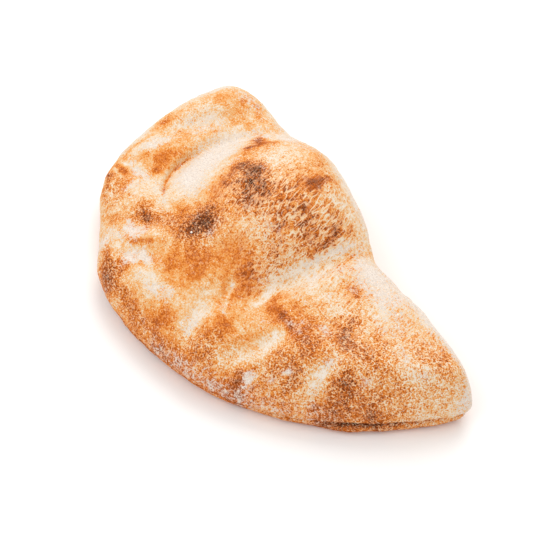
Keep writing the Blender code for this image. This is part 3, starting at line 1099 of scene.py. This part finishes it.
# %% The crust's tones and the sizes of its grain
CRUST_TONES = [
    (0.00, "#E4DAD1"),  # dough that the oven hardly touched
    (0.16, "#E0CFB8"),
    (0.32, "#E0B480"),
    (0.46, "#E0974D"),  # golden
    (0.60, "#D4762A"),
    (0.76, "#B1581D"),  # well browned
    (1.00, "#7C3C17"),
    (1.40, "#482210"),  # scorched
]
DARKEST = CRUST_TONES[-1][0]
FLOUR_TONE = "#EADFD5"
SHADED_FLOUR_TONE = "#CCBCAE"  # painted shade between its clumps
WORN_FLOUR_TONE = "#E9D3B2"  # flour that took up fat from the dough
SWIRL, SWAY = 3.5, 2.4  # mm, the size of the bends in flour and film, and how far they bend
MOTTLE = 3.4  # mm, the size of blotches in the browning
SPECK = 0.9  # mm, the size of single specks
WORM = 1.9  # mm, the size of the curls of dried flour
NET_CELL = 2.3  # mm, how far the holes of the net are apart
THREAD = 2.4  # mm, how far the threads of stretched film are apart
HOLE_LENGTH, THREAD_LENGTH = 2.7, 6.0  # how many times they are drawn out along the pull
CLUMP = 2.0  # mm, the size of clumps of flour
LINES_PALER = 0.38  # how much browning the pale lines take away
FLOUR_COVER, BURNT_OFF = 0.9, 0.55  # how opaque flour is, and how much less so where it is scorched
WORN_SHARE = 0.65  # the share of that cover which worn flour along the lines has
GRAIN_HEIGHT = 0.3  # mm, how high the finest grain stands
print("tones from", CRUST_TONES[0][1], "to", CRUST_TONES[-1][1])


# %% [markdown]
# Where the big bubble stretched the floured skin, the film tore into small holes with threads between them.
# Such a net could be painted, but cells and thin lines of noise give one that never repeats and stays sharp
# from near. Both are drawn out along the pull, by turning their coordinates and scaling one of them.

# %% Patterns of the stretched film and the dried flour
def film_holes(tree, where, mottle, stretched):
    """Browned holes in a paler film: what they add to the browning, a little below 0 between them. A hole
    is where a point is nearer to a cell's middle than the mottle's noise."""
    turned = add(tree, "Mapping", {"Vector": where, "Rotation": (0.0, 0.0, PULL),
                                   "Scale": (1.0, HOLE_LENGTH, 1.0)}, vector_type="TEXTURE")
    cells = add(tree, "TexVoronoi", {"Vector": turned, "Scale": 1 / (NET_CELL * MM)})
    reach = add(tree, "Math", {0: mottle, 1: 0.8}, operation="MULTIPLY")
    inside = add(tree, "Math", {0: reach, 1: cells.outputs["Distance"]}, operation="SUBTRACT")
    holes = add(tree, "MapRange", {"Value": inside, "From Min": -0.12, "From Max": 0.02, "To Min": -0.06,
                                   "To Max": 0.2}, interpolation_type="SMOOTHSTEP")
    return add(tree, "Math", {0: holes, 1: stretched}, operation="MULTIPLY")


def thin_lines(tree, where, size, outer, inner):
    """A mask of thin lines where noise crosses its middle value: 1 where it is nearer to it than inner, and
    0 beyond outer."""
    value = add(tree, "TexNoise", {"Vector": where, "Scale": 1 / (size * MM), "Detail": 1.0})
    value = add(tree, "Math", {0: value, 1: 0.5}, operation="SUBTRACT")
    value = add(tree, "Math", {0: value}, operation="ABSOLUTE")
    return add(tree, "MapRange", {"Value": value, "From Min": outer, "From Max": inner},
               interpolation_type="SMOOTHSTEP")


def flour_worms(tree, where, clumps, floured, crackled):
    """Pale curls where dried flour cracked, broken up by its clumps."""
    worms = thin_lines(tree, where, WORM, 0.08, 0.04)
    dusty = add(tree, "Math", {0: floured, 1: crackled}, operation="MAXIMUM")
    dusty = add(tree, "MapRange", {"Value": dusty, "From Min": 0.0, "From Max": 0.7, "To Min": 0.1})
    broken = add(tree, "MapRange", {"Value": clumps, "From Min": 0.42, "From Max": 0.58, "To Min": 0.15})
    worms = add(tree, "Math", {0: worms, 1: dusty}, operation="MULTIPLY")
    return add(tree, "Math", {0: worms, 1: broken}, operation="MULTIPLY")


def film_threads(tree, where, mottle, stretched):
    """Pale threads drawn far out along the pull, torn where the mottle is low."""
    turned = add(tree, "Mapping", {"Vector": where, "Rotation": (0.0, 0.0, PULL),
                                   "Scale": (1.0, THREAD_LENGTH, 1.0)}, vector_type="TEXTURE")
    threads = thin_lines(tree, turned, THREAD, 0.065, 0.03)
    threads = add(tree, "Math", {0: threads, 1: stretched}, operation="MULTIPLY")
    torn = add(tree, "MapRange", {"Value": mottle, "From Min": 0.38, "From Max": 0.54, "To Min": 0.3})
    threads = add(tree, "Math", {0: threads, 1: torn}, operation="MULTIPLY")
    return add(tree, "Math", {0: threads, 1: 1.25}, operation="MULTIPLY", use_clamp=True)


# %% [markdown]
# Char and grain are two more numbers on the browning level, and flour is a cover of its own. A threshold
# turns smooth noise into grains of flour with bare crust between them, which a plain mix of two colours
# would blur into a tan.

# %% Char, grain and flour
def charring(tree, scorched, mottle, specks):
    """What scorch adds to the browning, frayed by the mottle and the specks."""
    char = add(tree, "Math", {0: specks, 1: 1.5, 2: scorched}, operation="MULTIPLY_ADD")
    char = add(tree, "Math", {0: mottle, 1: 0.3, 2: char}, operation="MULTIPLY_ADD")
    char = add(tree, "MapRange", {"Value": char, "From Min": 0.95, "From Max": 1.95, "To Max": 0.75})
    return add(tree, "Math", {0: char, 1: scorched}, operation="MULTIPLY")


def grained(tree, browned_and_shaded, crackled, mottle, specks):
    """The painted browning and painted shade, with blotches and specks, and dark pits where the crust is
    crackled.
    """
    blotch = add(tree, "Math", {0: mottle, 1: 0.5}, operation="SUBTRACT")
    blotchy = add(tree, "MapRange", {"Value": crackled, "To Min": 0.5, "To Max": 0.75})
    level = add(tree, "Math", {0: blotch, 1: blotchy, 2: browned_and_shaded}, operation="MULTIPLY_ADD")
    grain = add(tree, "Math", {0: specks, 1: 0.5}, operation="SUBTRACT")
    grainy = add(tree, "MapRange", {"Value": crackled, "To Min": 0.85, "To Max": 1.9})
    level = add(tree, "Math", {0: grain, 1: grainy, 2: level}, operation="MULTIPLY_ADD")
    pits = add(tree, "MapRange", {"Value": specks, "From Min": 0.62, "From Max": 0.75, "To Max": 0.25})
    return add(tree, "Math", {0: pits, 1: crackled, 2: level}, operation="MULTIPLY_ADD")


def lying_flour(tree, floured, clumps, specks):
    """A mask of the flour, where its cover, with clumps and specks, passes a threshold, and its colour, with
    painted shade between its clumps.
    """
    cover = add(tree, "Math", {0: clumps, 1: 1.1, 2: floured}, operation="MULTIPLY_ADD")
    cover = add(tree, "Math", {0: specks, 1: -1.5, 2: cover}, operation="MULTIPLY_ADD")
    mask = add(tree, "MapRange", {"Value": cover, "From Min": 0.15, "From Max": 0.48},
               interpolation_type="SMOOTHSTEP")
    # painted shade: the flour's tone is darker where the specks are low, between its clumps
    out_of_clump_shade = add(tree, "MapRange", {"Value": specks, "From Min": 0.35, "From Max": 0.6})
    powder = add(tree, "Mix", {0: out_of_clump_shade, 6: linear(SHADED_FLOUR_TONE), 7: linear(FLOUR_TONE)},
                 data_type="RGBA")
    return mask, powder.outputs[2]


# %% The crust's material
def crust_material():
    """Baked wheat dough: dull and rough, so that all its looks come from its tones and its grain."""
    material, tree, shader = new_material("baked_wheat_crust")
    where = add(tree, "TexCoord").outputs["Object"]
    browned_and_shaded, floured, scorched, stretched, crackled = (
        add(tree, "Attribute", attribute_name=name).outputs["Fac"]
        for name in ("browned_and_shaded", "floured", "scorched", "stretched", "crackled"))

    # noise of all sizes, some of it in coordinates that a slower noise bends
    swirl = add(tree, "TexNoise", {"Vector": where, "Scale": 1 / (SWIRL * MM), "Detail": 2.0})
    bent = add(tree, "VectorMath", {0: swirl.outputs["Color"], 1: (SWAY * MM,) * 3, 2: where},
               operation="MULTIPLY_ADD")
    mottle, specks, clumps = (
        add(tree, "TexNoise", {"Vector": place, "Scale": 1 / (size * MM), "Detail": detail, "Roughness": 0.6})
        for place, size, detail in ((where, MOTTLE, 5.0), (where, SPECK, 2.0), (bent, CLUMP, 3.0)))

    # the browning level, which holes and scorch raise and pale lines lower
    net = film_holes(tree, bent, mottle, stretched)
    worms = flour_worms(tree, bent, clumps, floured, crackled)
    threads = film_threads(tree, where, mottle, stretched)
    lines = add(tree, "Math", {0: worms, 1: threads}, operation="MAXIMUM")
    level = grained(tree, browned_and_shaded, crackled, mottle, specks)
    level = add(tree, "Math", {0: lines, 1: -LINES_PALER, 2: level}, operation="MULTIPLY_ADD")
    level = add(tree, "Math", {0: level, 1: net}, operation="ADD")
    level = add(tree, "Math", {0: level, 1: charring(tree, scorched, mottle, specks)}, operation="ADD")

    # its colour
    level = add(tree, "Math", {0: level, 1: DARKEST}, operation="DIVIDE")
    tones = add(tree, "ValToRGB", {"Fac": level})
    ramp = tones.color_ramp.elements
    while len(ramp) < len(CRUST_TONES):
        ramp.new(1.0)
    for stop, (place, tone) in zip(ramp, CRUST_TONES):
        stop.position = place / DARKEST
        stop.color = linear(tone)
    colour = tones.outputs["Color"]

    # worn flour along the lines and powder on top, both burnt off on scorch
    flour, powder = lying_flour(tree, floured, clumps, specks)
    kept = add(tree, "Math", {0: scorched, 1: -BURNT_OFF, 2: FLOUR_COVER}, operation="MULTIPLY_ADD")
    faint = add(tree, "Math", {0: kept, 1: WORN_SHARE}, operation="MULTIPLY")
    for mask, strength, tone in ((lines, faint, linear(WORN_FLOUR_TONE)), (flour, kept, powder)):
        share = add(tree, "Math", {0: mask, 1: strength}, operation="MULTIPLY")
        colour = add(tree, "Mix", {0: share, 6: colour, 7: tone}, data_type="RGBA").outputs[2]
    tree.links.new(colour, shader.inputs["Base Color"])

    # grain that stands up: specks, flour and worms, with the holes sunk in
    height = specks
    for mask, lift in ((net, -0.4), (flour, 0.3), (worms, 0.4)):
        height = add(tree, "Math", {0: mask, 1: lift, 2: height}, operation="MULTIPLY_ADD")
    bump = add(tree, "Bump", {"Strength": 0.5, "Distance": GRAIN_HEIGHT * MM, "Height": height})
    tree.links.new(bump.outputs["Normal"], shader.inputs["Normal"])
    shader.inputs["Roughness"].default_value = 0.85
    shader.inputs["Specular IOR Level"].default_value = 0.05
    return material


crust_object = bpy.data.objects.new("calzone_crust", skin)
bpy.context.scene.collection.objects.link(crust_object)
crust_finish = crust_material()
skin.materials.append(crust_finish)
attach(crust_object, "root")
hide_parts("calzone")
print("crust material has", len(crust_finish.node_tree.nodes), "nodes")

# %% [markdown]
# ## Loose flour and bran
#
# Flour on real crust is not only a tint: single grains and small clumps stand on the skin and catch light.
# Thousands of them fit in one mesh if each is a squashed octahedron of eight faces. Their places are drawn
# from the skin's own triangles, more of them where the paint says there is flour.

# %% Grains as one joined mesh
OCTAHEDRON = np.array([(1, 0, 0), (-1, 0, 0), (0, 1, 0), (0, -1, 0), (0, 0, 1), (0, 0, -1)], float)
OCTAHEDRON_FACES = np.array([(0, 2, 4), (2, 1, 4), (1, 3, 4), (3, 0, 4), (2, 0, 5), (1, 2, 5), (3, 1, 5),
                             (0, 3, 5)])


def places_on_skin(mesh, weight, count, random):
    """Random points on the skin with their normals: a face is drawn in proportion to its area times its
    weight, and the point is a random blend of its corners."""
    corners = np.empty(len(mesh.loops), int)
    mesh.loops.foreach_get("vertex_index", corners)
    starts = np.empty(len(mesh.polygons), int)
    areas = np.empty(len(mesh.polygons))
    mesh.polygons.foreach_get("loop_start", starts)
    mesh.polygons.foreach_get("area", areas)
    first_three = corners[starts[:, None] + np.arange(3)]
    chance = areas * weight[first_three].mean(axis=1)
    face = random.choice(len(chance), count, p=chance / chance.sum())
    blend = random.dirichlet((1, 1, 1), count)
    points, normals = read_points(mesh)
    at = (points[first_three[face]] * blend[:, :, None]).sum(axis=1)
    outwards = (normals[first_three[face]] * blend[:, :, None]).sum(axis=1)
    return at, outwards / np.linalg.norm(outwards, axis=1, keepdims=True)


def grains(name, weight, count, radius, flatness, seed, material):
    """Squashed octahedra on the skin: each corner is the place plus a random turned frame times the
    grain's radius in mm, with the part along the normal made flatter. None reaches below the table."""
    random = np.random.default_rng(seed)
    at, outwards = places_on_skin(skin, weight, count, random)
    side = np.cross(outwards, random.normal(size=(count, 3)))
    side /= np.linalg.norm(side, axis=1, keepdims=True)
    axes = np.stack([side, np.cross(outwards, side), outwards], axis=1)
    size = radius * MM * random.lognormal(0, 0.35, (count, 1, 1))
    squash = np.stack([random.uniform(0.6, 1.3, count), random.uniform(0.6, 1.3, count),
                       np.full(count, flatness)], axis=1)
    shape = OCTAHEDRON[None] * squash[:, None] * size
    shape = shape + random.normal(0, 0.12, shape.shape) * size
    corners = at[:, None] + np.einsum("nci,nij->ncj", shape, axes)
    corners[:, :, 2] = np.maximum(corners[:, :, 2], 0.05 * MM)
    faces = (OCTAHEDRON_FACES[None] + 6 * np.arange(count)[:, None, None]).reshape(-1, 3)
    mesh = bpy.data.meshes.new(name)
    mesh.from_pydata(corners.reshape(-1, 3), [], faces)
    mesh.materials.append(material)
    piece = bpy.data.objects.new(name, mesh)
    bpy.context.scene.collection.objects.link(piece)
    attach(piece, "root")
    return piece


def powder_material(name, dark, light):
    """Dry powder: fully rough, its tone changing a little from grain to grain."""
    material, tree, shader = new_material(name)
    where = add(tree, "TexCoord").outputs["Object"]
    tone = add(tree, "TexNoise", {"Vector": where, "Scale": 1 / (1.5 * MM)})
    tone = add(tree, "MapRange", {"Value": tone, "From Min": 0.35, "From Max": 0.65})
    colour = add(tree, "Mix", {0: tone, 6: linear(dark), 7: linear(light)}, data_type="RGBA")
    tree.links.new(colour.outputs[2], shader.inputs["Base Color"])
    shader.inputs["Roughness"].default_value = 0.95
    shader.inputs["Specular IOR Level"].default_value = 0.2
    return material


facing_up = eased(smooth_normals[:, 2], -0.35, 0.3)
flour_weight = (floured**1.4 + 0.02) * facing_up
flour_grains = grains("flour_grains", flour_weight, count=9000, radius=0.17, flatness=0.5, seed=50,
                      material=powder_material("wheat_flour", "#EFE2D2", "#F8EFE4"))
bran_weight = (browned_and_shaded + scorched) * over_base
bran = grains("toasted_bran", bran_weight, count=1500, radius=0.2, flatness=0.4, seed=51,
              material=powder_material("toasted_bran", "#7A4520", "#B06A34"))
print("flour:", len(flour_grains.data.polygons), "faces, bran:", len(bran.data.polygons))

# %% [markdown]
# ## Table and light
#
# The photograph is bright and soft. Light comes from all round, with a large softbox high behind the fold,
# so that the top glows and the rim towards us is a little darker. A weaker one in front keeps the rim
# readable, and a white floor sends light back up.

# %% Floor
FLOOR_HALF = 4.0  # m, half the floor's width


def floor_material():
    """White card: matt, so that it only gives soft light back."""
    material, _, shader = new_material("white_matt_card")
    shader.inputs["Base Color"].default_value = linear("#FAFAF9")
    shader.inputs["Roughness"].default_value = 0.9
    shader.inputs["Specular IOR Level"].default_value = 0.1
    return material


def add_floor(half):
    """A flat square on the table's level, which is the scene's and not the calzone's."""
    mesh = bpy.data.meshes.new("floor")
    corners = [(-half, -half, 0), (half, -half, 0), (half, half, 0), (-half, half, 0)]
    mesh.from_pydata(corners, [], [(0, 1, 2, 3)])
    mesh.materials.append(floor_material())
    floor = bpy.data.objects.new("floor", mesh)
    bpy.context.scene.collection.objects.link(floor)
    return floor


floor = add_floor(FLOOR_HALF)
print("floor is", floor.dimensions.x, "m wide")


# %% Lights
SKY_STRENGTH = 0.9
LIGHT_AIM = (0, 0, 0.03)  # m, the middle of the calzone
# Name, place and size in metres, and power in watts
SOFTBOXES = [
    ("key_softbox", (-0.65, 0.7, 1.3), 1.0, 9.5),  # high behind the fold
    ("fill_softbox", (-0.2, -1.0, 1.2), 1.2, 5.0),  # weaker, in front of the rim
]


def add_softbox(name, place, size, power):
    """A square area light at a place, turned so that its front looks at the calzone."""
    data = bpy.data.lights.new(name, "AREA")
    data.energy = power
    data.size = size
    lamp = bpy.data.objects.new(name, data)
    bpy.context.scene.collection.objects.link(lamp)
    away = Vector(place) - Vector(LIGHT_AIM)
    lamp.matrix_world = Matrix.Translation(place) @ away.to_track_quat("Z", "Y").to_matrix().to_4x4()
    return lamp


def add_sky(strength):
    """White light of that strength from all round."""
    world = bpy.data.worlds.new("studio")
    world.use_nodes = True
    background = world.node_tree.nodes["Background"]
    background.inputs["Color"].default_value = linear("#FFFFFF")
    background.inputs["Strength"].default_value = strength
    bpy.context.scene.world = world


add_sky(SKY_STRENGTH)
lamps = [add_softbox(*softbox) for softbox in SOFTBOXES]
bpy.context.scene.view_settings.view_transform = "Standard"
bpy.context.scene.view_settings.look = "None"
print("lights:", [lamp.name for lamp in lamps])
